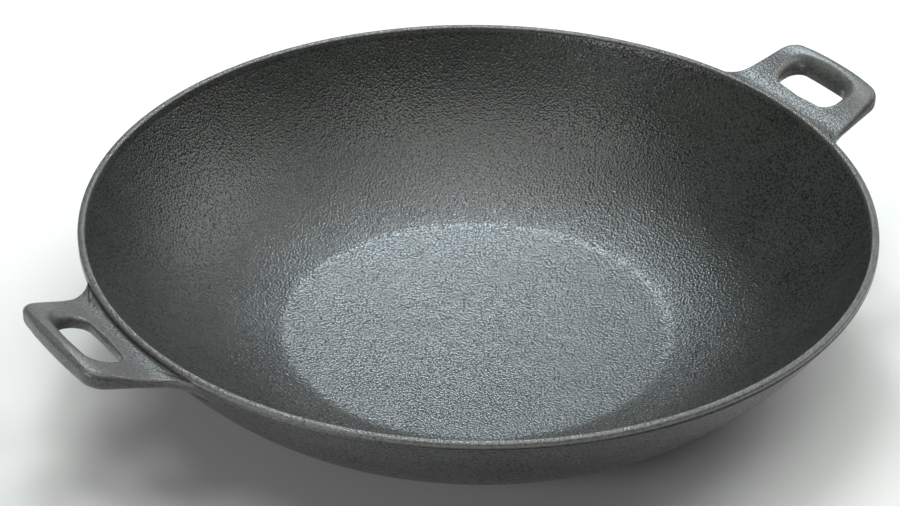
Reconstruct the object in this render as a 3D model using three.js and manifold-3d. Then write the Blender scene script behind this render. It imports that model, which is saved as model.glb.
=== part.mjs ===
// Cast iron wok: a shallow round bowl with a flat base and two loop handles at its rim.
// Millimetres, +Z up. The origin is the centre of the underside, and the handles lie along X.

import * as THREE from 'three';
import { mergeVertices } from 'three/addons/utils/BufferGeometryUtils.js';
import Module from 'manifold-3d';

const wasm = await Module();
wasm.setup();

// Bowl
const rimRadius = 180;
const bowlHeight = 70.6;
const baseRadius = 80;
const baseThickness = 3; // in the middle of the base
const wallThickness = 3.6; // at the rim
const wallSlope = THREE.MathUtils.degToRad(31); // from the vertical, just under the rim band

// Inside, the base is a shallow dish that runs on into the wall
const dishRadius = 88;
const dishTilt = THREE.MathUtils.degToRad(3.6); // at its edge

// How far the wall follows the line of the base and the line that it has at the rim,
// as shares of the way to the corner where those two lines would meet
const outerBaseHold = 0.7;
const outerRimHold = 0.66;
const innerBaseHold = 0.6;
const innerRimHold = 0.72;

// Rim: an upright band that stands a little proud of the wall
const rimWidth = 4;
const rimBandHeight = 4;
const rimBandStep = 0.5;
const rimRound = 1.2;

// Handle seen from above: x runs outward from the rim band, y along the rim
const handleReach = 35.4;
const handleWidth = 65; // over the arms at the grip
const handleRootWidth = 77.6; // over the arms where their lines meet the rim
const gripBow = 2.1; // how far the grip's outer face bulges
const cornerRadius = 9;
const flareRadius = 22; // between an arm and the rim
const slotLength = 42;
const slotWidth = 15.4;
const slotRadius = 7.1;
const webWidth = 10.1; // plate between the rim and the slot

// Handle heights, measured from the rim's top
const rootTop = -2.1;
const gripTop = 10.8;
const gripCrown = 1.8; // how much the grip drops from its middle to its corners
const riseStart = -1.2; // the top climbs from the rim to the grip between these two places
const riseEnd = 36.2;
const rootUnderside = -7.5;
const gripUnderside = 1;

// Handle edges
const gripOuterRound = 3.2;
const rootOuterRound = 1.5;
const lowerOuterRound = 3;
const gripSlotRound = 5.9;
const webSlotRound = 2;
const lowerSlotRound = 1.6;
const rootFillet = 6; // between the underside and the wall
const rootInset = 1; // how far inside the bowl's outside the flares and that fillet run out
const leanRun = 14; // distance from the rim over which the sides lean with the wall

// Clearance between a handle's root and the bowl
const seatGap = 0.3;

// Facets
const bowlSegments = 96;
const wallSteps = 14;
const dishSteps = 4;
const rimRoundSteps = 3;
const gripSteps = 13; // sections of a handle's loop along half of the grip
const flareSteps = 12; // and along an arm and its flare
const rootSteps = 5; // and along half of the root
const edgeSteps = 4;
const acrossSteps = 5;

// Wall of the bowl

const wallRise = new THREE.Vector2(Math.sin(wallSlope), Math.cos(wallSlope));
const wallInward = new THREE.Vector2(-wallRise.y, wallRise.x);

// A curve that leaves its foot at a tilt and reaches its top along the slope of the wall
function wallCurve(foot, tilt, top, footHold, topHold) {
  const along = new THREE.Vector2(Math.cos(tilt), Math.sin(tilt));
  const reach = top.clone().sub(foot).cross(wallRise) / along.cross(wallRise);
  const corner = foot.clone().addScaledVector(along, reach);
  const leaving = foot.clone().lerp(corner, footHold);
  const arriving = top.clone().lerp(corner, topHold);
  return new THREE.CubicBezierCurve(foot, leaving, arriving, top);
}

const outerFoot = new THREE.Vector2(baseRadius, 0);
const outerTop = new THREE.Vector2(rimRadius - rimBandStep, bowlHeight - rimBandHeight);
const outerCurve = wallCurve(outerFoot, 0, outerTop, outerBaseHold, outerRimHold);

const dishDepth = dishRadius * Math.tan(dishTilt) / 2;
const innerFoot = new THREE.Vector2(dishRadius, baseThickness + dishDepth);
const innerTop = outerTop.clone().addScaledVector(wallInward, wallThickness);
const innerCurve = wallCurve(innerFoot, dishTilt, innerTop, innerBaseHold, innerRimHold);

const dishMiddle = new THREE.Vector2(0, baseThickness);
const dishControl = new THREE.Vector2(dishRadius / 2, baseThickness);
const dishCurve = new THREE.QuadraticBezierCurve(dishMiddle, dishControl, innerFoot);

// Points up the outside of the wall, moved outward
function outerPoints(distance) {
  const points = [];
  for (let step = 0; step <= wallSteps; step += 1) {
    const along = outerCurve.getTangent(step / wallSteps);
    const outward = new THREE.Vector2(along.y, -along.x);
    points.push(outerCurve.getPoint(step / wallSteps).addScaledVector(outward, distance));
  }
  return points;
}

function arcPoints(centreX, centreY, radius, from, to, steps) {
  const arc = new THREE.EllipseCurve(centreX, centreY, radius, radius, from, to, to < from);
  return arc.getPoints(steps);
}

// A profile in (radius, height), from the axis round the outside and back to the axis, turned about Z
function revolve(profile) {
  const geometry = new THREE.LatheGeometry(profile, bowlSegments);
  geometry.rotateX(Math.PI / 2);
  return geometry;
}

function bowlGeometry() {
  const round = Math.min(rimRound, rimWidth / 2);
  const roundHeight = bowlHeight - round;
  return revolve([
    new THREE.Vector2(0, 0),
    ...outerPoints(0),
    new THREE.Vector2(rimRadius, outerTop.y + rimBandStep),
    ...arcPoints(rimRadius - round, roundHeight, round, 0, Math.PI / 2, rimRoundSteps),
    ...arcPoints(rimRadius - rimWidth + round, roundHeight, round, Math.PI / 2, Math.PI, rimRoundSteps),
    ...innerCurve.getPoints(wallSteps).reverse(),
    ...dishCurve.getPoints(dishSteps).reverse().slice(1),
  ]);
}

// The filled space of the bowl, larger than its outside by the seat gap
function seatGeometry() {
  const top = bowlHeight + rimBandHeight;
  return revolve([
    new THREE.Vector2(0, -seatGap),
    ...outerPoints(seatGap),
    new THREE.Vector2(rimRadius + seatGap, outerTop.y + rimBandStep),
    new THREE.Vector2(rimRadius + seatGap, top),
    new THREE.Vector2(0, top),
  ]);
}

// Joining and cutting of closed solids

function solidFrom(geometry) {
  const bare = geometry.clone();
  bare.deleteAttribute('normal');
  bare.deleteAttribute('uv');
  const merged = mergeVertices(bare);
  const corners = [];
  for (let face = 0; face < merged.index.count; face += 3) {
    const [a, b, c] = merged.index.array.slice(face, face + 3);
    if (a !== b && b !== c && c !== a) corners.push(a, b, c);
  }
  const vertProperties = new Float32Array(merged.attributes.position.array);
  const triVerts = new Uint32Array(corners);
  return new wasm.Manifold(new wasm.Mesh({ numProp: 3, vertProperties, triVerts }));
}

function geometryFrom(solid) {
  const { vertProperties, triVerts } = solid.getMesh();
  const geometry = new THREE.BufferGeometry();
  geometry.setAttribute('position', new THREE.BufferAttribute(vertProperties, 3));
  geometry.setIndex(new THREE.BufferAttribute(triVerts, 1));
  geometry.computeVertexNormals();
  return geometry;
}

// Outline of a handle, as half of it from the middle of the grip to the middle of the root

const bowlAxis = new THREE.Vector2(-rimRadius, 0);
const gripCorner = new THREE.Vector2(handleReach - gripBow, handleWidth / 2);
const armSpread = Math.asin(handleRootWidth / 2 / rimRadius);
const armRoot = new THREE.Vector2(rimRadius, 0).rotateAround(new THREE.Vector2(), armSpread).add(bowlAxis);
const armRun = armRoot.clone().sub(gripCorner).normalize();
const armSide = new THREE.Vector2(armRun.y, -armRun.x);

// The flare touches the line of the arm and a circle just inside the rim band
const flareSeat = rimRadius - rootInset;
const flareLine = armRoot.clone().addScaledVector(armSide, flareRadius).sub(bowlAxis);
const flareAlong = flareLine.dot(armRun);
const flareReach = (flareSeat + flareRadius) ** 2 - flareLine.lengthSq();
const flareSlide = -flareAlong - Math.sqrt(flareAlong ** 2 + flareReach);
const flareCentre = flareLine.clone().addScaledVector(armRun, flareSlide).add(bowlAxis);
const flareStart = flareCentre.clone().addScaledVector(armSide, -flareRadius);
const flareEnd = flareCentre.clone().sub(bowlAxis).setLength(flareSeat).add(bowlAxis);
const rootAngle = flareEnd.clone().sub(bowlAxis).angle();
const rootRadius = rimRadius - rootFillet; // the root runs on into the bowl before it is cut

// Arc about a centre, from the direction of one point to that of another
function arcBetween(path, centre, from, to) {
  const start = from.clone().sub(centre);
  const end = to.clone().sub(centre);
  path.absarc(centre.x, centre.y, start.length(), start.angle(), end.angle(), start.cross(end) < 0);
}

// Straight run towards a corner, then an arc that turns there towards the next point
function roundCorner(path, corner, next, radius) {
  const back = path.currentPoint.clone().sub(corner);
  const ahead = next.clone().sub(corner);
  const halfTurn = back.angleTo(ahead) / 2;
  const reach = Math.min(radius / Math.tan(halfTurn), back.length(), ahead.length() / 2);
  const middle = back.normalize().add(ahead.normalize()).normalize();
  const centre = corner.clone().addScaledVector(middle, reach / Math.cos(halfTurn));
  const start = path.currentPoint.clone().sub(corner).setLength(reach).add(corner);
  const end = corner.clone().addScaledVector(ahead, reach);
  arcBetween(path, centre, start, end);
}

function gripOutline() {
  const path = new THREE.Path();
  path.moveTo(handleReach, 0);
  path.quadraticCurveTo(handleReach, handleWidth / 8, handleReach - gripBow / 4, handleWidth / 4);
  roundCorner(path, gripCorner, flareStart, cornerRadius);
  const armMiddle = path.currentPoint.clone().lerp(flareStart, 0.5);
  path.lineTo(armMiddle.x, armMiddle.y);
  return path;
}

function flareOutline(from) {
  const path = new THREE.Path();
  path.moveTo(from.x, from.y);
  path.lineTo(flareStart.x, flareStart.y);
  arcBetween(path, flareCentre, flareStart, flareEnd);
  return path;
}

function rootOutline() {
  const path = new THREE.Path();
  path.moveTo(flareEnd.x, flareEnd.y);
  path.lineTo(bowlAxis.x + rootRadius * Math.cos(rootAngle), rootRadius * Math.sin(rootAngle));
  path.absarc(bowlAxis.x, bowlAxis.y, rootRadius, rootAngle, 0, true);
  return path;
}

// Half of the slot, in three runs that face those of the outline

const slotFar = webWidth + slotWidth;
const slotMiddle = webWidth + slotWidth / 2;
const slotEnd = slotLength / 2;
const slotTurn = slotEnd - slotRadius;

function slotGripSide() {
  const path = new THREE.Path();
  path.moveTo(slotFar, 0);
  path.lineTo(slotFar, slotTurn);
  path.absarc(slotFar - slotRadius, slotTurn, slotRadius, 0, Math.PI / 2, false);
  path.lineTo(slotMiddle, slotEnd);
  return path;
}

function slotArmSide() {
  const path = new THREE.Path();
  path.moveTo(slotMiddle, slotEnd);
  path.lineTo(webWidth + slotRadius, slotEnd);
  path.absarc(webWidth + slotRadius, slotTurn, slotRadius, Math.PI / 2, Math.PI, false);
  return path;
}

function slotRimSide() {
  const path = new THREE.Path();
  path.moveTo(webWidth, slotTurn);
  path.lineTo(webWidth, 0);
  return path;
}

// Points round the whole loop, evenly spaced on each run of one half, and their mirror
function loopPoints(gripSide, armSide, rimSide) {
  const half = [
    ...gripSide.getSpacedPoints(gripSteps),
    ...armSide.getSpacedPoints(flareSteps).slice(1),
    ...rimSide.getSpacedPoints(rootSteps).slice(1),
  ];
  const mirrored = half.slice(1, -1).reverse().map((point) => new THREE.Vector2(point.x, -point.y));
  return [...half, ...mirrored];
}

// Heights of a handle

function topAt(place) {
  const rise = THREE.MathUtils.smoothstep(place.x, riseStart, riseEnd);
  const crown = gripCrown * (2 * place.y / handleWidth) ** 2;
  return bowlHeight + THREE.MathUtils.lerp(rootTop, gripTop - crown, rise);
}

function distanceFromRim(place) {
  return place.distanceTo(bowlAxis) - rimRadius;
}

// The underside climbs towards the grip, and at the root it drops in a fillet to the wall
function undersideAt(place) {
  const climb = Math.max(place.x / handleReach, 0);
  const plain = bowlHeight + THREE.MathUtils.lerp(rootUnderside, gripUnderside, climb);
  const fromFoot = THREE.MathUtils.clamp(distanceFromRim(place) + rootInset, 0, rootFillet);
  return plain - rootFillet + Math.sqrt(rootFillet ** 2 - (rootFillet - fromFoot) ** 2);
}

// Near the rim, what lies lower than the rim band leans inward with the wall
function leaned(place, height) {
  const share = 1 - THREE.MathUtils.smoothstep(distanceFromRim(place), 0, leanRun);
  const lean = share * Math.tan(wallSlope) * Math.max(outerTop.y - height, 0);
  const fromAxis = place.clone().sub(bowlAxis);
  fromAxis.setLength(fromAxis.length() - lean);
  return new THREE.Vector3(fromAxis.x, fromAxis.y, height);
}

// Points of a straight run, without its ends
function runPoints(fromX, toX, height) {
  const points = [];
  for (let step = 1; step < acrossSteps; step += 1) {
    points.push(new THREE.Vector2(THREE.MathUtils.lerp(fromX, toX, step / acrossSteps), height));
  }
  return points;
}

// Cross section of the loop: (across from the slot, up from the underside), with four rounded edges.
// All four shrink alike where two of them are more than their side has room for.
function barSection(width, thickness, rounds) {
  const across = Math.max(rounds.slotTop + rounds.outerTop, rounds.slotLow + rounds.outerLow);
  const upright = Math.max(rounds.slotTop + rounds.slotLow, rounds.outerTop + rounds.outerLow);
  const fit = Math.min(1, width / across, thickness / upright);
  const slotTop = rounds.slotTop * fit;
  const slotLow = rounds.slotLow * fit;
  const outerTop = rounds.outerTop * fit;
  const outerLow = rounds.outerLow * fit;
  const right = Math.PI / 2;
  return [
    ...arcPoints(slotLow, slotLow, slotLow, 2 * right, 3 * right, edgeSteps),
    ...runPoints(slotLow, width - outerLow, 0),
    ...arcPoints(width - outerLow, outerLow, outerLow, 3 * right, 4 * right, edgeSteps),
    ...arcPoints(width - outerTop, thickness - outerTop, outerTop, 0, right, edgeSteps),
    ...runPoints(width - outerTop, slotTop, thickness),
    ...arcPoints(slotTop, thickness - slotTop, slotTop, right, 2 * right, edgeSteps),
  ];
}

// The edges are crisp at the root and full at the grip
function edgeRounds(towardsGrip) {
  return {
    slotTop: THREE.MathUtils.lerp(webSlotRound, gripSlotRound, towardsGrip),
    slotLow: lowerSlotRound,
    outerTop: THREE.MathUtils.lerp(rootOuterRound, gripOuterRound, towardsGrip),
    outerLow: lowerOuterRound,
  };
}

// The loop is a closed row of sections, each from the slot to the outline
function loopGeometry() {
  const gripHalf = gripOutline();
  const outline = loopPoints(gripHalf, flareOutline(gripHalf.currentPoint), rootOutline());
  const slot = loopPoints(slotGripSide(), slotArmSide(), slotRimSide());
  const positions = [];
  let sectionSize = 0;
  outline.forEach((outerPoint, station) => {
    const across = outerPoint.clone().sub(slot[station]);
    const width = across.length();
    across.normalize();
    const middle = outerPoint.clone().lerp(slot[station], 0.5);
    const thickness = topAt(middle) - undersideAt(middle);
    const towardsGrip = THREE.MathUtils.clamp(middle.x / slotFar, 0, 1);
    const section = barSection(width, thickness, edgeRounds(towardsGrip));
    sectionSize = section.length;
    for (const { x: reach, y: lift } of section) {
      const place = slot[station].clone().addScaledVector(across, reach);
      const height = THREE.MathUtils.lerp(undersideAt(place), topAt(place), lift / thickness);
      positions.push(...leaned(place, height).toArray());
    }
  });
  const faces = [];
  for (let station = 0; station < outline.length; station += 1) {
    const here = station * sectionSize;
    const next = ((station + 1) % outline.length) * sectionSize;
    for (let corner = 0; corner < sectionSize; corner += 1) {
      const after = (corner + 1) % sectionSize;
      faces.push(here + corner, next + after, here + after);
      faces.push(here + corner, next + corner, next + after);
    }
  }
  const geometry = new THREE.BufferGeometry();
  geometry.setAttribute('position', new THREE.Float32BufferAttribute(positions, 3));
  geometry.setIndex(faces);
  return geometry;
}

// The loop is cut to the outside of the bowl, so that its root seats on rim band and wall
function handleGeometry() {
  return geometryFrom(solidFrom(loopGeometry()).subtract(solidFrom(seatGeometry())));
}

// Assembly

const castIron = { roughness: 0.55, metalness: 0.6 };

function namedMesh(name, geometry, colour) {
  const mesh = new THREE.Mesh(geometry, new THREE.MeshStandardMaterial({ color: colour, ...castIron }));
  mesh.name = name;
  return mesh;
}

const wok = new THREE.Group();
wok.add(namedMesh('bowl', bowlGeometry(), 0x55575a));

const rightHandle = namedMesh('right_handle', handleGeometry(), 0x6a6c6c);
const leftHandle = namedMesh('left_handle', handleGeometry(), 0x6a6c6c);
leftHandle.rotation.z = Math.PI;
wok.add(rightHandle, leftHandle);

export default wok;
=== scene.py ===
# %% [markdown]
# # A cast iron wok
#
# A shallow round bowl with a flat base and two loop handles, poured in one sand mould. Nothing on it moves,
# so every piece rides on the one body "root". The packed solids give the sizes, and this lesson dresses them:
# a camera, the bowl as a turned profile, the handles as lofted loops, the skin of the iron, and soft light.

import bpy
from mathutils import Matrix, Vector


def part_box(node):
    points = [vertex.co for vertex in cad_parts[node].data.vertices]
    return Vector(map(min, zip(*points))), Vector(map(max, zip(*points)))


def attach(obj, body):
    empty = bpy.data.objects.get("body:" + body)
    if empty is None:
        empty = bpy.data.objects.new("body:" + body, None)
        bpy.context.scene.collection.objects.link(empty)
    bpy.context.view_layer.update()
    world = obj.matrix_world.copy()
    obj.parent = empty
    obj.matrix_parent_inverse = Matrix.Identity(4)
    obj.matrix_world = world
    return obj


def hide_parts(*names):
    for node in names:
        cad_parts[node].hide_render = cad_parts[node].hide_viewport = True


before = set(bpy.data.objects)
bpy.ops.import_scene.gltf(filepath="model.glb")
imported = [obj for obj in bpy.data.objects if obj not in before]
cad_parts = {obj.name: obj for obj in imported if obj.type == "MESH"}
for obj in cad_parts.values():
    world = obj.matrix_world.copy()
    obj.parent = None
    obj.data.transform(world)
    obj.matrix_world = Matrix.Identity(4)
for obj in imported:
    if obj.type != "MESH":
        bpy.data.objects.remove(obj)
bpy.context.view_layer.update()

# %% [markdown]
# ## Camera
#
# The rim of a wok is a circle, so its outline in a picture tells where the camera stood: how flat the ellipse is
# gives the height of the view, and how much wider the near half is gives the distance. The camera below is a plain
# pinhole that was matched to the rim that way. Its lens is written in pixels of a 900 pixel wide frame first,
# because that is what can be measured, and turned into millimetres on Blender's 36 mm sensor after that.

# %% Camera
import math

import bmesh
import bpy
import numpy as np
from mathutils import Matrix, Vector

picture_width = 900
rim_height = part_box("bowl")[1].z
camera_distance = 1.1886  # from the centre of the rim
camera_rise = math.radians(31.319)  # above the plane of the rim
handle_turn = math.radians(35.157)  # of the line through both handles, away from the picture plane
camera_roll = math.radians(-0.7)
lens_pixels = 2629.3
aim_pixels = (27.57, -46.1)  # how far the rim's centre lies from the middle of the picture


def camera_axes():
    """Right, up and forward of the camera, first aimed at the rim's centre and then turned off it and rolled."""
    back = Vector((-math.sin(handle_turn), -math.cos(handle_turn), 0)) * math.cos(camera_rise)
    back.z = math.sin(camera_rise)
    forward = -back
    right = forward.cross(Vector((0, 0, 1))).normalized()
    up = right.cross(forward)
    pan, tilt = (math.atan2(pixels, lens_pixels) for pixels in aim_pixels)
    right, forward = (
        right * math.cos(pan) + forward * math.sin(pan),
        forward * math.cos(pan) - right * math.sin(pan),
    )
    up, forward = (
        up * math.cos(tilt) - forward * math.sin(tilt),
        forward * math.cos(tilt) + up * math.sin(tilt),
    )
    right, up = (
        right * math.cos(camera_roll) - up * math.sin(camera_roll),
        up * math.cos(camera_roll) + right * math.sin(camera_roll),
    )
    return right, up, forward, back


right, up, forward, back = camera_axes()
camera_data = bpy.data.cameras.new("camera")
camera_data.lens = camera_data.sensor_width * lens_pixels / picture_width
camera = bpy.data.objects.new("camera", camera_data)
camera.matrix_world = Matrix((right, up, -forward)).transposed().to_4x4()
camera.location = back * camera_distance + Vector((0, 0, rim_height))
bpy.context.scene.collection.objects.link(camera)
bpy.context.scene.camera = camera
bpy.context.scene.view_settings.view_transform = "Standard"
print("camera at", tuple(round(c, 3) for c in camera.location), "lens", round(camera_data.lens, 1), "mm")

# %% [markdown]
# ## Writing node trees
#
# Both the bowl's shape and the iron's skin are node trees. Adding nodes by hand takes many lines, so one small
# class holds an output socket: arithmetic on it adds Math nodes, and its `make` adds any other node.

# %% A wire between nodes
class Wire:
    """An output socket of a node, with arithmetic."""

    def __init__(self, tree, socket=None):
        self.tree = tree
        self.socket = socket

    def make(self, kind, settings=None, inputs=None, output=0):
        node = self.tree.nodes.new(kind)
        for name, value in (settings or {}).items():
            if name == "items":
                for _ in range(value - len(node.index_switch_items)):
                    node.index_switch_items.new()
            else:
                setattr(node, name, value)
        for name, value in (inputs or {}).items():
            for each in value if isinstance(value, list) else [value]:
                if isinstance(each, Wire):
                    self.tree.links.new(each.socket, node.inputs[name])
                else:
                    node.inputs[name].default_value = each
        return Wire(self.tree, node.outputs[output] if node.outputs else None)

    def also(self, output):
        """Another output of the same node."""
        return Wire(self.tree, self.socket.node.outputs[output])

    def maths(self, operation, first, second):
        return self.make("ShaderNodeMath", {"operation": operation}, {0: first, 1: second})

    def __add__(self, other):
        return self.maths("ADD", self, other)

    def __radd__(self, other):
        return self.maths("ADD", other, self)

    def __sub__(self, other):
        return self.maths("SUBTRACT", self, other)

    def __rsub__(self, other):
        return self.maths("SUBTRACT", other, self)

    def __mul__(self, other):
        return self.maths("MULTIPLY", self, other)

    def __rmul__(self, other):
        return self.maths("MULTIPLY", other, self)

    def __truediv__(self, other):
        return self.maths("DIVIDE", self, other)

    def mix(self, share, first, second):
        """A colour between two others."""
        settings = {"data_type": "RGBA"}
        return self.make("ShaderNodeMix", settings, {"Factor": share, 6: first, 7: second}, output=2)

    def ramp(self, low, high):
        """0 below low, 1 above high and a smooth climb between them. Low may be the larger one."""
        flip = low > high
        ends = {"From Min": min(low, high), "From Max": max(low, high)}
        ends.update({"To Min": float(flip), "To Max": float(not flip)})
        return self.make("ShaderNodeMapRange", {"interpolation_type": "SMOOTHSTEP"}, {"Value": self, **ends})


print("wires do:", [name for name in vars(Wire) if not name.endswith("__")])

# %% [markdown]
# ## The skin of the iron
#
# Sand leaves a fine orange peel on cast iron: rounded grains about a millimetre across, packed close, with finer
# roughness between them and a few deeper pits. Seasoning bakes a thin dark film on top, so the colour is a warm
# grey, nearly black, and the gloss is a soft one. The grain could be modelled, but it is far too fine for that,
# so it is bump, driven by Object coordinates: the grain then has a real size in metres and runs on from the bowl
# into the handles. The colour also carries painted light on the grain: the rounded tops are lighter, partly thinner
# film and partly painted light, and the pits darker, partly seasoning gathered there and partly painted shade.
# Where hands and spatulas rub, at the rim and on the edges of the handles, the film is thinner, lighter and
# glossier. The upward faces of the handles, the grips most, are lighter and glossier as well: some of it is wear,
# and some a painted highlight. The handles' films are also painted lighter than the bowl's, as lit, though the
# iron is the same. The bottom of the bowl was ground and is smoother than the wall. How much a point faces up is
# kept on each mesh as an attribute, which tells the inside of the bowl from its outside and, on the handles, marks
# the upward faces.

# %% Skin of the iron
grain_size = 0.00115
grain_depth = 0.00022
dome_height, grit_height, swell_height, pit_height = 0.9, 0.4, 0.3, 0.5  # shares of the depth
cloud_scale, speck_scale = 28.0, 700.0  # per metre
# The tops' share lightens the grain tops: partly thinner film there, partly painted light on the tops.
cloud_share, speck_share, thin_and_lit_top_share = 0.2, 0.2, 0.6  # of the way from the thick film to the thin one
cloud_dullness, top_gloss, worn_gloss = 0.04, 0.08, 0.03  # changes of the roughness
# Colour of the pits: painted shade, together with the seasoning that gathers there.
pit_shade_and_seasoning = (0.012, 0.012, 0.011, 1)
# Bare iron where the film is rubbed off; on the handles' upward faces it is also a painted highlight.
bare_iron_and_sheen = (0.17, 0.17, 0.165, 1)
bowl_films = (0.009, 0.0098, 0.009, 1), (0.062, 0.066, 0.062, 1)  # thick and thin
# Painted light: the handles are the same iron as the bowl, but their films are painted lighter, as lit.
handle_films_painted_lighter = (0.034, 0.035, 0.033, 1), (0.09, 0.093, 0.089, 1)


def grain_heights(start, place):
    """Height of the sand grain, and the masks of its rounded tops and of its deepest pits."""
    cells = start.make(
        "ShaderNodeTexVoronoi", inputs={"Vector": place, "Scale": 1 / grain_size, "Randomness": 1.0}
    )
    grit = start.make("ShaderNodeTexNoise", inputs={"Vector": place, "Scale": 1.4 / grain_size, "Detail": 2.0})
    swell = start.make("ShaderNodeTexNoise", inputs={"Vector": place, "Scale": 0.3 / grain_size, "Detail": 1.0})
    pits = swell.ramp(0.70, 0.80)
    domes = 1 - cells * cells
    heights = dome_height * domes + grit_height * grit + swell_height * swell - pit_height * pits
    return heights, domes.ramp(0.45, 0.95), pits


def iron_skin(name, films, dullness, zones):
    """A material whose zones say how coarse each spot is and how much of its film is rubbed off; on the handles the
    second zone also paints the upward faces lighter, a painted highlight.
    """
    material = bpy.data.materials.new(name)
    material.use_nodes = True
    material.node_tree.nodes.clear()
    start = Wire(material.node_tree)
    place = start.make("ShaderNodeTexCoord", output="Object")
    coarseness, wear_and_sheen = zones(start, place)
    heights, tops, pits = grain_heights(start, place)
    clouds = start.make(
        "ShaderNodeTexNoise", inputs={"Vector": place, "Scale": cloud_scale, "Detail": 4.0, "Roughness": 0.6}
    )
    specks = start.make(
        "ShaderNodeTexNoise", inputs={"Vector": place, "Scale": speck_scale, "Detail": 2.0, "Roughness": 0.7}
    )
    worn_and_sheen = wear_and_sheen * specks.ramp(0.15, 0.65)
    # Painted light: the grain tops take the lighter colour of the thin film, as if lit, with thinner film there too.
    thinness_and_top_light = cloud_share * clouds.ramp(0.3, 0.7) + speck_share * specks.ramp(0.3, 0.7) + thin_and_lit_top_share * tops
    film = start.mix(thinness_and_top_light, *films)
    # Painted shade: the pits are darkened, with seasoning gathered in them as well.
    film = start.mix(pits * 0.6, film, pit_shade_and_seasoning)
    # Rubbed spots turn to bare iron; on the handles' upward faces this is also a painted highlight.
    colour = start.mix(worn_and_sheen, film, bare_iron_and_sheen)
    bump = start.make(
        "ShaderNodeBump",
        inputs={"Height": heights * coarseness, "Strength": 1.0, "Distance": grain_depth},
    )
    shader = start.make(
        "ShaderNodeBsdfPrincipled",
        inputs={
            "Base Color": colour,
            "Roughness": dullness + cloud_dullness * clouds - top_gloss * tops - worn_gloss * worn_and_sheen,
            "Specular IOR Level": 0.5,
            "Normal": bump,
        },
    )
    start.make("ShaderNodeOutputMaterial", inputs={"Surface": shader})
    return material


# %% Where the iron is coarse and where it is worn
outside_coarseness, ground_smoothing, rim_wear = 0.3, 0.68, 0.8
ground_edge = 0.105, 0.085  # radii where the grinding starts and where it is full
rim_wear_edge = 0.0035, 0.0008  # the same for the wear, below the top of the rim
plate_coarseness, grip_smoothing, grip_climb = 0.6, 0.3, 0.008
# The top and grip shares lighten the handles' upward faces: some wear from hands, and a painted highlight.
edge_wear, top_wear_and_sheen, grip_wear_and_sheen = 0.7, 0.2, 0.25


def bowl_zones(start, place):
    spot = start.make("ShaderNodeSeparateXYZ", inputs={"Vector": place})
    flat = start.make("ShaderNodeVectorMath", {"operation": "MULTIPLY"}, {0: place, 1: (1, 1, 0)})
    radius = start.make("ShaderNodeVectorMath", {"operation": "LENGTH"}, {0: flat}, output="Value")
    upward = start.make("ShaderNodeAttribute", {"attribute_name": "upward"}, output="Fac")
    rim = spot.also("Z").ramp(*(rim_height - depth for depth in rim_wear_edge))
    ground = radius.ramp(*ground_edge)
    inside = upward * (1 - ground_smoothing * ground)
    return outside_coarseness + (1 - outside_coarseness) * inside, rim * rim_wear


def handle_zones(start, place):
    spot = start.make("ShaderNodeSeparateXYZ", inputs={"Vector": place})
    grip = spot.also("Z").ramp(rim_height, rim_height + grip_climb)
    edge = start.make("ShaderNodeAttribute", {"attribute_name": "edge"}, output="Fac")
    upward = start.make("ShaderNodeAttribute", {"attribute_name": "upward"}, output="Fac")
    # Wear on the edges; the upward faces, the grip most, also get a painted highlight.
    return plate_coarseness - grip_smoothing * grip, edge_wear * edge + upward * (top_wear_and_sheen + grip_wear_and_sheen * grip)


bowl_iron = iron_skin("bowl_iron", bowl_films, dullness=0.27, zones=bowl_zones)
handle_iron = iron_skin("handle_iron", handle_films_painted_lighter, dullness=0.36, zones=handle_zones)
print("materials:", {m.name: len(m.node_tree.nodes) for m in (bowl_iron, handle_iron)})

# %% [markdown]
# ## The bowl
#
# The bowl is a body of revolution, as a pattern maker would turn it on a lathe: one profile, swept round the axis.
# A Geometry Nodes tree holds that rule. The profile is drawn in five runs, underside, outside of the wall, rim,
# inside of the wall and floor, and each is swept round the circle of the rim. Merging the doubles then closes the
# shell. The outside is one Bezier segment that leaves the base along its plane and reaches the rim 31 degrees off
# the upright. The inside ends beside it at the same slope, but starts at the edge of the floor, a shallow dish,
# with a distinct bend: light catches that bend as a ring.

# %% Sizes of the bowl
bowl_sizes = {
    "Rim Radius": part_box("bowl")[1].x,
    "Bowl Height": rim_height,
    "Base Radius": 0.08,
    "Base Thickness": 0.003,
    "Wall Thickness": 0.0036,
    "Wall Slope": math.radians(31),
    "Dish Radius": 0.090,
    "Dish Tilt": math.radians(3.6),
    "Wall Foot Tilt": math.radians(11),
    "Outer Base Hold": 0.7,
    "Outer Rim Hold": 0.66,
    "Inner Base Hold": 0.7,
    "Inner Rim Hold": 0.72,
    "Rim Width": 0.004,
    "Rim Band Height": 0.004,
    "Rim Band Step": 0.0005,
    "Rim Rounding": 0.0012,
    "Rim Groove": 0.00035,
    "Casting Wave": 0.00022,
}
bowl_counts = {"Steps Round": 480, "Steps Up": 44, "Steps In Dish": 36, "Steps Under": 8, "Steps In Corners": 5}
print("bowl:", {name: round(size, 4) for name, size in bowl_sizes.items()})

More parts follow.
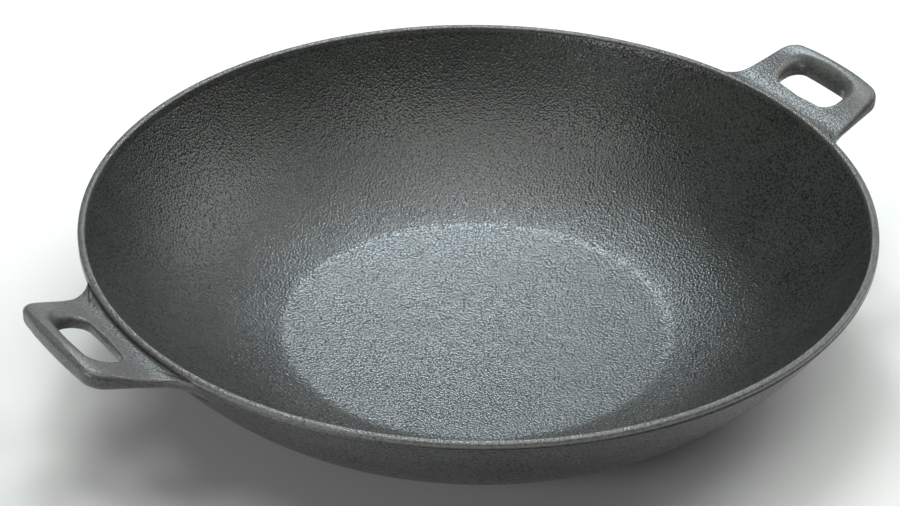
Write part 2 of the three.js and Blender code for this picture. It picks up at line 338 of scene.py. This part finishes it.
# %% The bowl's tree
def bowl_tree():
    tree = bpy.data.node_groups.new("wok bowl", "GeometryNodeTree")
    tree.interface.new_socket("Geometry", in_out="OUTPUT", socket_type="NodeSocketGeometry")
    for name in bowl_sizes:
        tree.interface.new_socket(name, in_out="INPUT", socket_type="NodeSocketFloat")
    for name in bowl_counts:
        tree.interface.new_socket(name, in_out="INPUT", socket_type="NodeSocketInt")
    tree.interface.new_socket("Material", in_out="INPUT", socket_type="NodeSocketMaterial")
    start = Wire(tree)
    given = start.make("NodeGroupInput")
    size = {item.name: given.also(item.name) for item in tree.interface.items_tree if item.in_out == "INPUT"}

    def point(radius, height):
        return start.make("ShaderNodeCombineXYZ", inputs={"X": radius, "Y": height})

    def between(first, second, share):
        return start.make(
            "ShaderNodeMix",
            {"data_type": "VECTOR"},
            {"Factor": share, 4: first, 5: second},
            output=1,
        )

    def resampled(curve, count):
        return start.make("GeometryNodeResampleCurve", inputs={"Curve": curve, "Count": count})

    def bend(side, foot, top, corner):
        """From foot to top, holding on to the lines through the corner where both would meet."""
        curve = start.make(
            "GeometryNodeCurvePrimitiveBezierSegment",
            {"mode": "POSITION"},
            {
                "Resolution": size["Steps Up"],
                "Start": foot,
                "Start Handle": between(foot, corner, size[side + " Base Hold"]),
                "End Handle": between(top, corner, size[side + " Rim Hold"]),
                "End": top,
            },
        )
        return resampled(curve, size["Steps Up"])

    slope_sine = start.maths("SINE", size["Wall Slope"], 0.0)
    slope_cosine = start.maths("COSINE", size["Wall Slope"], 0.0)
    slope_tangent = slope_sine / slope_cosine
    top_radius = size["Rim Radius"] - size["Rim Band Step"]
    top_height = size["Bowl Height"] - size["Rim Band Height"]
    top = point(top_radius, top_height)
    corner = point(top_radius - top_height * slope_tangent, 0.0)
    outside = bend("Outer", point(size["Base Radius"], 0.0), top, corner)

    tilt_tangent = start.maths("TANGENT", size["Dish Tilt"], 0.0)
    foot_height = size["Base Thickness"] + size["Dish Radius"] * tilt_tangent * 0.5
    foot = point(size["Dish Radius"], foot_height)
    inner_radius = top_radius - size["Wall Thickness"] * slope_cosine
    inner_height = top_height + size["Wall Thickness"] * slope_sine
    inner_top = point(inner_radius, inner_height)
    foot_tangent = start.maths("TANGENT", size["Wall Foot Tilt"], 0.0)
    out = inner_radius - size["Dish Radius"] - (inner_height - foot_height) * slope_tangent
    out = out / (1.0 - foot_tangent * slope_tangent)
    inner_corner = point(size["Dish Radius"] + out, foot_height + out * foot_tangent)
    inside = bend("Inner", foot, inner_top, inner_corner)

    underside = start.make(
        "GeometryNodeCurvePrimitiveLine",
        inputs={"Start": point(0.0, 0.0), "End": point(size["Base Radius"], 0.0)},
    )
    dish = start.make(
        "GeometryNodeCurveQuadraticBezier",
        inputs={
            "Resolution": size["Steps In Dish"],
            "Start": point(0.0, size["Base Thickness"]),
            "Middle": point(size["Dish Radius"] * 0.5, size["Base Thickness"]),
            "End": foot,
        },
    )

    groove = [size["Rim Groove"] * share for share in (3.2, 4.4, 5.6)]  # start, bottom and end above the band's foot
    rim_corners = [
        top,
        point(size["Rim Radius"], top_height + size["Rim Band Step"]),
        point(size["Rim Radius"], top_height + groove[0]),
        point(size["Rim Radius"] - size["Rim Groove"], top_height + groove[1]),
        point(size["Rim Radius"], top_height + groove[2]),
        point(size["Rim Radius"], size["Bowl Height"]),
        point(size["Rim Radius"] - size["Rim Width"], size["Bowl Height"]),
        inner_top,
    ]
    order = start.make("GeometryNodeInputIndex")
    pick = start.make(
        "GeometryNodeIndexSwitch",
        {"data_type": "VECTOR", "items": len(rim_corners)},
        {"Index": order, **{1 + place: each for place, each in enumerate(rim_corners)}},
    )
    marks = start.make("GeometryNodePoints", inputs={"Count": len(rim_corners), "Position": pick})
    rim = start.make("GeometryNodePointsToCurves", inputs={"Points": marks})
    rim = start.make(
        "GeometryNodeFilletCurve",
        {"mode": "POLY"},
        {"Curve": rim, "Count": size["Steps In Corners"], "Radius": size["Rim Rounding"], "Limit Radius": True},
    )

    runs = [
        resampled(underside, size["Steps Under"]),
        outside,
        rim,
        inside,
        resampled(dish, size["Steps In Dish"]),
    ]
    profile = start.make("GeometryNodeJoinGeometry", inputs={"Geometry": runs})
    from_rim = point(0.0 - size["Rim Radius"], 0.0)
    profile = start.make(
        "GeometryNodeTransform",
        inputs={"Geometry": profile, "Translation": from_rim, "Scale": (1, -1, 1)},
    )
    ring = start.make(
        "GeometryNodeCurvePrimitiveCircle",
        {"mode": "RADIUS"},
        {"Resolution": size["Steps Round"], "Radius": size["Rim Radius"]},
    )
    shell = start.make("GeometryNodeCurveToMesh", inputs={"Curve": ring, "Profile Curve": profile})
    shell = start.make("GeometryNodeMergeByDistance", inputs={"Geometry": shell, "Distance": 1e-6})
    shell = start.make("GeometryNodeFlipFaces", inputs={"Mesh": shell})
    wave = start.make("ShaderNodeTexNoise", inputs={"Scale": 30.0, "Detail": 3.0, "Roughness": 0.55})
    normal = start.make("GeometryNodeInputNormal")
    sink = start.make(
        "ShaderNodeVectorMath",
        {"operation": "SCALE"},
        {0: normal, "Scale": wave * (0.0 - size["Casting Wave"])},
    )
    shell = start.make("GeometryNodeSetPosition", inputs={"Geometry": shell, "Offset": sink})
    shell = start.make("GeometryNodeSetShadeSmooth", inputs={"Geometry": shell})
    shell = start.make("GeometryNodeRealizeInstances", inputs={"Geometry": shell})
    shell = start.make("GeometryNodeSetMaterial", inputs={"Geometry": shell, "Material": size["Material"]})
    start.make("NodeGroupOutput", inputs={"Geometry": shell})
    return tree


print("tree of", len(bowl_tree().nodes), "nodes")

# %% The bowl as a plain mesh
def link(name, mesh):
    piece = bpy.data.objects.new(name, mesh)
    bpy.context.scene.collection.objects.link(piece)
    return piece


def smooth_step(value, low, high):
    share = np.clip((value - low) / (high - low), 0, 1)
    return share * share * (3 - 2 * share)


def mark_upward(mesh, low, high):
    """Keeps how much each point faces up: 0 where its normal rises by low or less, 1 from high on."""
    normals = np.empty(len(mesh.vertices) * 3)
    mesh.vertex_normals.foreach_get("vector", normals)
    shares = smooth_step(normals[2::3], low, high)
    mesh.attributes.new("upward", "FLOAT", "POINT").data.foreach_set("value", shares)


def grown(name, tree, values):
    """The result of a tree as a plain mesh, with its faces turned outwards."""
    piece = link(name, bpy.data.meshes.new(name))
    modifier = piece.modifiers.new("tree", "NODES")
    modifier.node_group = tree
    for item in tree.interface.items_tree:
        if item.in_out == "INPUT":
            modifier[item.identifier] = values[item.name]
    mesh = bpy.data.meshes.new_from_object(piece.evaluated_get(bpy.context.evaluated_depsgraph_get()))
    piece.modifiers.remove(modifier)
    shape = bmesh.new()
    shape.from_mesh(mesh)
    bmesh.ops.recalc_face_normals(shape, faces=shape.faces)
    shape.to_mesh(mesh)
    open_edges = sum(not edge.is_manifold for edge in shape.edges)
    shape.free()
    mark_upward(mesh, 0.0, 0.3)
    piece.data = mesh
    print(name, len(mesh.polygons), "faces,", open_edges, "open edges")
    return piece


bowl = grown("wok_bowl", bpy.data.node_groups["wok bowl"], {**bowl_sizes, **bowl_counts, "Material": bowl_iron})
low, high = (Vector(map(f, zip(*(v.co for v in bowl.data.vertices)))) for f in (min, max))
print("bowl box", tuple(round(c, 5) for c in low), tuple(round(c, 5) for c in high))
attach(bowl, "root")
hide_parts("bowl")

# %% [markdown]
# ## The handles
#
# Each handle is a flat loop that grows out of the rim, climbs to a crowned grip, and is pierced by a long slot for
# the fingers. A subdivision cage could model it, but its outline is made of arcs and lines that a pattern maker
# would draw, so it is lofted: pairs of points on the slot and on the outline each carry a rounded section of the
# bar between them. The section's top and underside follow two height rules, crisp at the root and full at the grip.
# Close to the rim the bar leans inward with the wall, so the flares stay on the wall all the way down.

# %% Sizes of a handle
mm = 0.001
rim_radius = bowl_sizes["Rim Radius"]
grip_reach, grip_bow, grip_width = 35.4 * mm, 2.1 * mm, 65 * mm
arm_spread, corner_radius, flare_radius = 77.6 * mm, 9 * mm, 22 * mm
slot_length, slot_width, slot_radius, web_width = 37.4 * mm, 15.4 * mm, 7.1 * mm, 10.1 * mm
root_top, grip_top, grip_crown = -2.1 * mm, 10.8 * mm, 1.8 * mm
rise_start, rise_end = -1.2 * mm, 36.2 * mm
root_underside, grip_underside = -7.5 * mm, 1 * mm
root_fillet, lean_run = 6 * mm, 14 * mm
flare_inset, root_inset = 1 * mm, 2 * mm
loop_steps = (40, 36, 20)  # half of the grip, an arm with its flare, half of the root
edge_steps, across_steps = 8, 12
print("handle", round(grip_reach / mm, 1), "by", round(grip_width / mm, 1), "mm, slot", slot_length / mm)


# %% Outline and slot
def arc(centre, start, end, steps=48):
    """Points on a circle from start to end, the short way round."""
    first, last = start - centre, end - centre
    turn = math.atan2(first[0] * last[1] - first[1] * last[0], first @ last)
    angles = math.atan2(first[1], first[0]) + turn * np.linspace(0, 1, steps + 1)
    return centre + math.hypot(*first) * np.stack((np.cos(angles), np.sin(angles)), 1)


def unit(vector):
    return vector / math.hypot(*vector)


def outline_runs():
    """Half of the outline: grip, arm with flare, root. X runs outward from the rim, Y along it."""
    axis = np.array((-rim_radius, 0.0))
    along = np.linspace(0, grip_width / 4, 12)
    grip = np.stack((grip_reach - grip_bow * (2 * along / grip_width) ** 2, along), 1)
    corner = np.array((grip_reach - grip_bow, grip_width / 2))
    arm_root = np.array((math.sqrt(rim_radius**2 - arm_spread**2 / 4), arm_spread / 2)) + axis

    run = unit(arm_root - corner)
    side = np.array((run[1], -run[0]))
    line = arm_root + flare_radius * side - axis
    seat = rim_radius - flare_inset
    slide = -(line @ run) - math.sqrt((line @ run) ** 2 - line @ line + (seat + flare_radius) ** 2)
    flare_centre = line + slide * run + axis
    flare_start = flare_centre - flare_radius * side
    flare_end = axis + seat * unit(flare_centre - axis)

    back = unit(grip[-1] - corner)
    half_turn = math.acos(back @ run) / 2
    cut = corner_radius / math.tan(half_turn)
    centre = corner + unit(back + run) * corner_radius / math.sin(half_turn)
    bend = arc(centre, corner + cut * back, corner + cut * run)
    arm_middle = (bend[-1] + flare_start) / 2

    root_angles = math.atan2(flare_end[1], flare_end[0] - axis[0]) * np.linspace(1, 0, 24)
    root = axis + (rim_radius - root_inset) * np.stack((np.cos(root_angles), np.sin(root_angles)), 1)
    flare = arc(flare_centre, flare_start, flare_end)
    return np.vstack((grip, bend, arm_middle)), np.vstack((arm_middle, flare)), np.vstack((flare_end, root))


def slot_runs():
    """Half of the slot, in runs that face those of the outline."""
    near, far, end = web_width, web_width + slot_width, slot_length / 2
    middle = np.array(((near + far) / 2, end))
    turn = end - slot_radius
    far_turn = arc(
        np.array((far - slot_radius, turn)), np.array((far, turn)), np.array((far - slot_radius, end))
    )
    near_turn = arc(
        np.array((near + slot_radius, turn)), np.array((near + slot_radius, end)), np.array((near, turn))
    )
    return np.vstack(((far, 0.0), far_turn, middle)), np.vstack((middle, near_turn)), np.array(
        ((near, turn), (near, 0.0))
    )


def loop(runs):
    """A half loop in even steps along each run, and its mirror."""
    half = []
    for points, steps in zip(runs, loop_steps):
        gone = np.concatenate(((0,), np.cumsum(np.hypot(*np.diff(points, axis=0).T))))
        marks = np.linspace(0, gone[-1], steps + 1)[:-1]
        half.append(np.stack([np.interp(marks, gone, points[:, axis]) for axis in (0, 1)], 1))
    half = np.vstack((*half, runs[-1][-1:]))
    return np.vstack((half, half[-2:0:-1] * (1, -1)))


outline, slot = loop(outline_runs()), loop(slot_runs())
print("loop of", len(outline), "sections")


# %% Heights and sections
def from_rim(places):
    return np.hypot(places[:, 0] + rim_radius, places[:, 1]) - rim_radius


def top_at(places):
    crown = grip_crown * (2 * places[:, 1] / grip_width) ** 2
    rise = smooth_step(places[:, 0], rise_start, rise_end)
    return root_top + rise * (grip_top - crown - root_top)


def underside_at(places):
    climb = np.maximum(places[:, 0] / grip_reach, 0)
    from_foot = np.clip(from_rim(places), 0, root_fillet)
    fillet = root_fillet - np.sqrt(root_fillet**2 - (root_fillet - from_foot) ** 2)
    return root_underside + climb * (grip_underside - root_underside) - fillet


def bar_section(width, thickness, towards_grip):
    """Points across the bar and up from its underside, with how much of an edge each one is."""
    slot_low, outer_low = 1.6 * mm, 3 * mm
    outer_top = (1.5 + 1.7 * towards_grip) * mm
    slot_top = (2.0 + 3.9 * towards_grip) * mm
    corners = (
        (slot_low, slot_low, slot_low, 2),
        (width - outer_low, outer_low, outer_low, 3),
        (width - outer_top, thickness - outer_top, outer_top, 0),
        (slot_top, thickness - slot_top, slot_top, 1),
    )
    points, edges = [], []
    for x, z, radius, quarter in corners:
        angles = (quarter + np.linspace(0, 1, edge_steps + 1)) * math.pi / 2
        points.append(np.stack((x + radius * np.cos(angles), z + radius * np.sin(angles)), 1))
        edges.append(np.sin(np.linspace(0, math.pi, edge_steps + 1)) * min(1, 1.5 * mm / radius))
        if quarter in (3, 1):
            continue
        goal = (width - outer_low, 0) if quarter == 2 else (slot_top, thickness)
        steps = np.linspace(0, 1, across_steps + 1)[1:-1, None]
        points.append(points[-1][-1] + steps * (np.array(goal) - points[-1][-1]))
        edges.append(np.zeros(across_steps - 1))
    return np.vstack(points), np.concatenate(edges)


def leaned(places, heights):
    """The same places about the bowl's axis, pulled in with the wall where they lie under the rim band."""
    below = np.maximum(-bowl_sizes["Rim Band Height"] - heights, 0)
    lean = (1 - smooth_step(from_rim(places), 0, lean_run)) * math.tan(bowl_sizes["Wall Slope"]) * below
    about = places + (rim_radius, 0)
    about = about * (1 - lean / np.hypot(*about.T))[:, None]
    return np.column_stack((about, heights + rim_height))


rings, ring_edges = [], []
for outer, inner in zip(outline, slot):
    middle = (outer + inner)[None] / 2
    width = math.hypot(*(outer - inner))
    thickness = float(top_at(middle)[0] - underside_at(middle)[0])
    section, edges = bar_section(width, thickness, np.clip(middle[0, 0] / (web_width + slot_width), 0, 1))
    places = inner + section[:, :1] * (outer - inner) / width
    under = underside_at(places)
    rings.append(leaned(places, under + (top_at(places) - under) * section[:, 1] / thickness))
    ring_edges.append(edges)
print("sections of", len(rings[0]), "points")

# %% [markdown]
# The loop is closed by joining each ring to the next. A casting is never quite even, so every point then sinks a
# little along its normal, by a slow noise that reads the point's place: that makes the two handles differ.

# %% The handles as meshes
from mathutils import noise

dent_depth, dent_size = 0.3 * mm, 14 * mm


def handle(name, turned):
    points = np.array(rings)
    stations, count = points.shape[:2]
    index = np.arange(stations * count).reshape(stations, count)
    after = np.roll(index, -1, 0)
    quads = np.stack((index, after, np.roll(after, -1, 1), np.roll(index, -1, 1)), -1).reshape(-1, 4)
    facing = -1 if turned else 1
    mesh = bpy.data.meshes.new(name)
    mesh.from_pydata((points.reshape(-1, 3) * (facing, facing, 1)).tolist(), [], quads.tolist())
    mesh.attributes.new("edge", "FLOAT", "POINT").data.foreach_set("value", np.concatenate(ring_edges))
    shape = bmesh.new()
    shape.from_mesh(mesh)
    bmesh.ops.recalc_face_normals(shape, faces=shape.faces)
    shape.normal_update()
    for vertex in shape.verts:
        dent = 0.5 + 0.4 * noise.noise(vertex.co / dent_size) + 0.1 * noise.noise(vertex.co / dent_size * 3)
        vertex.co -= vertex.normal * dent_depth * dent
    open_edges = sum(not edge.is_manifold for edge in shape.edges)
    shape.to_mesh(mesh)
    shape.free()
    mark_upward(mesh, 0.3, 0.9)
    mesh.shade_smooth()
    mesh.materials.append(handle_iron)
    print(name, len(mesh.polygons), "faces,", open_edges, "open edges")
    return link(name, mesh)


for node, turned in (("right_handle", False), ("left_handle", True)):
    piece = handle("wok_" + node, turned)
    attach(piece, "root")
    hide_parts(node)

# %% [markdown]
# ## Floor and light
#
# The wok stands on a sheet of white paper, as in a small studio. The paper's fibres are a faint noise in colour and
# bump, so that it takes soft shadows without looking like plastic.

# %% Floor
floor_reach = 6
fibre_scale, tooth_depth = 900.0, 0.00003
fibre_shades = (0.93, 0.93, 0.93, 1), (0.96, 0.96, 0.96, 1)
floor = link("floor", bpy.data.meshes.new("floor"))
shape = bmesh.new()
bmesh.ops.create_grid(shape, x_segments=1, y_segments=1, size=floor_reach)
shape.to_mesh(floor.data)
shape.free()
paper = bpy.data.materials.new("paper")
paper.use_nodes = True
paper.node_tree.nodes.clear()
start = Wire(paper.node_tree)
place = start.make("ShaderNodeTexCoord", output="Object")
fibres = start.make(
    "ShaderNodeTexNoise", inputs={"Vector": place, "Scale": fibre_scale, "Detail": 4.0, "Roughness": 0.6}
)
tooth = start.make("ShaderNodeBump", inputs={"Height": fibres, "Distance": tooth_depth})
white = start.mix(fibres, *fibre_shades)
sheet = start.make("ShaderNodeBsdfPrincipled", inputs={"Base Color": white, "Roughness": 0.9, "Normal": tooth})
start.make("ShaderNodeOutputMaterial", inputs={"Surface": sheet})
floor.data.materials.append(paper)
print("floor with", len(paper.node_tree.nodes), "nodes in its paper")

# %% [markdown]
# One small cool lamp stands behind the wok and mirrors itself in the bottom of the bowl: it makes the soft highlight
# there. Three large lamps overhead show the curve of the wall. Weaker ones behind and at the right show the rim and
# the right handle, and a low one in front lifts the outside and the left handle. Each lamp is placed by its bearing,
# clockwise from straight behind the wok as the camera sees it, and by its rise above the floor.

# %% Light
room_glow = 0.03
world = bpy.data.worlds.new("studio")
world.use_nodes = True
world.node_tree.nodes["Background"].inputs["Color"].default_value = (1, 1, 1, 1)
world.node_tree.nodes["Background"].inputs["Strength"].default_value = room_glow
bpy.context.scene.world = world
lamp_target = Vector((0, 0, 0.04))
cool, plain = (0.8, 0.93, 1.0), (0.98, 1.0, 0.98)


def softbox(name, bearing, rise, size, watts, tint=plain, distance=1.7):
    bearing, rise = math.radians(bearing), math.radians(rise)
    behind = Vector((math.sin(bearing) * math.cos(rise), math.cos(bearing) * math.cos(rise), math.sin(rise)))
    way = Matrix.Rotation(-handle_turn, 3, "Z") @ behind
    lamp = bpy.data.lights.new(name, "AREA")
    lamp.shape = "DISK"
    lamp.size = size
    lamp.energy = watts
    lamp.color = tint
    holder = bpy.data.objects.new(name, lamp)
    holder.location = lamp_target + way * distance
    holder.rotation_euler = (-way).to_track_quat("-Z", "Y").to_euler()
    bpy.context.scene.collection.objects.link(holder)


softbox("behind", -2, 41, 0.2, 3.5, cool, 1.2)
softbox("behind, low", 0, 12, 0.9, 1.3)
softbox("overhead, behind", 0, 70, 0.9, 10)
softbox("overhead, left", 240, 70, 0.9, 7.5)
softbox("overhead, right", 120, 70, 0.9, 6.8)
softbox("right, behind", 40, 36, 0.9, 5.0)
softbox("right", 66, 36, 0.9, 4.5)
softbox("front, low", 226, 12, 0.9, 10)

# %% [markdown]
